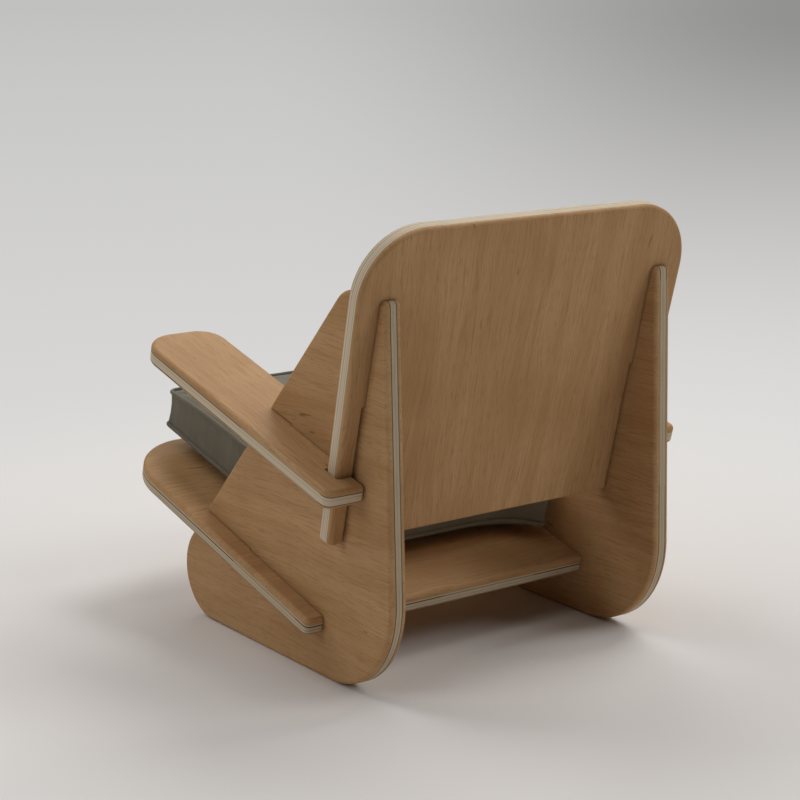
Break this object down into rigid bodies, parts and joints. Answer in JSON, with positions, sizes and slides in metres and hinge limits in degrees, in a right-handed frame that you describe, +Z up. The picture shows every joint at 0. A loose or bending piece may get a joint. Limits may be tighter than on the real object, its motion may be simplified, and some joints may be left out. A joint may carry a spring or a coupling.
{
  "type": "plywood lounge chair",
  "caption": "Low lounge armchair of thick plywood side, seat, back and arm panels that slot together without fasteners, with a loose welted seat cushion.",
  "frame": {"origin": "on the floor below the middle of the whole chair", "axes": "+Z up, -Y the way a sitter faces, +X to the sitter's left"},
  "size_m": [0.75, 0.8231, 0.778],
  "materials": {
    "plywood": "satin oiled veneer, bare edges",
    "cover_cloth": "matte woven",
    "welt_cloth": "matte woven over cord",
    "foam": "matte open-cell foam"
  },
  "bodies": {
    "frame": {"left_side_panel": "plywood", "right_side_panel": "plywood", "left_arm": "plywood", "right_arm": "plywood"},
    "seat": {"seat_panel": "plywood"},
    "back": {"back_panel": "plywood"},
    "cushion": {"cushion_top_cover": "cover_cloth", "cushion_boxing": "cover_cloth", "cushion_top_welt": "welt_cloth", "cushion_bottom_welt": "welt_cloth", "cushion_bottom_cover": "cover_cloth", "cushion_core": "foam"}
  },
  "joints": [
    {"name": "seat_slide", "type": "slide", "parent": "frame", "child": "seat", "axis": [0, -0.9673, 0.2538], "range_m": [0, 0.42]},
    {"name": "back_slide", "type": "slide", "parent": "frame", "child": "back", "axis": [0, 0.2385, 0.9711], "range_m": [0, 0.44]},
    {"name": "cushion_slide", "type": "slide", "parent": "seat", "child": "cushion", "axis": [0, -0.9673, 0.2538], "range_m": [0, 0.6]}
  ]
}
